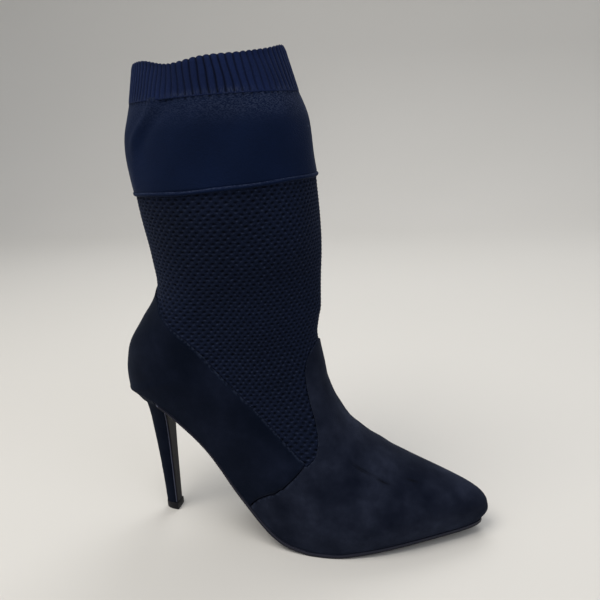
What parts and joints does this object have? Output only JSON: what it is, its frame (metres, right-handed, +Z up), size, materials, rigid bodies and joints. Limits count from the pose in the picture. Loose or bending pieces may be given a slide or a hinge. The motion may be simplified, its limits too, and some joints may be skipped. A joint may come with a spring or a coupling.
{
  "type": "sock boot",
  "caption": "High-heeled sock boot with a pointed suede toe and counter, a pierced knit shaft, a plain knit cuff, a ribbed top band and a slim wrapped heel.",
  "frame": {"origin": "centre of the boot's bounding box, on the floor plane that the top lift and the forefoot stand on", "axes": "+X from heel to toe, +Y to the wearer's left (the medial side), +Z up the shaft"},
  "size_m": [0.2451, 0.0912, 0.3145],
  "materials": {
    "upper": "knitted",
    "cuff": "knitted",
    "hem": "knitted",
    "rib_band": "rib knitted",
    "vamp": "napped suede cloth",
    "quarter": "napped suede cloth",
    "heel": "suede cloth over a rigid core",
    "insole": "smooth",
    "outsole": "satin",
    "top_lift": "satin"
  },
  "bodies": {
    "root": {"upper": "upper", "vamp": "vamp", "quarter": "quarter", "cuff": "cuff", "hem": "hem", "rib_band": "rib_band", "insole": "insole", "outsole": "outsole", "heel": "heel", "top_lift": "top_lift"}
  },
  "joints": []
}
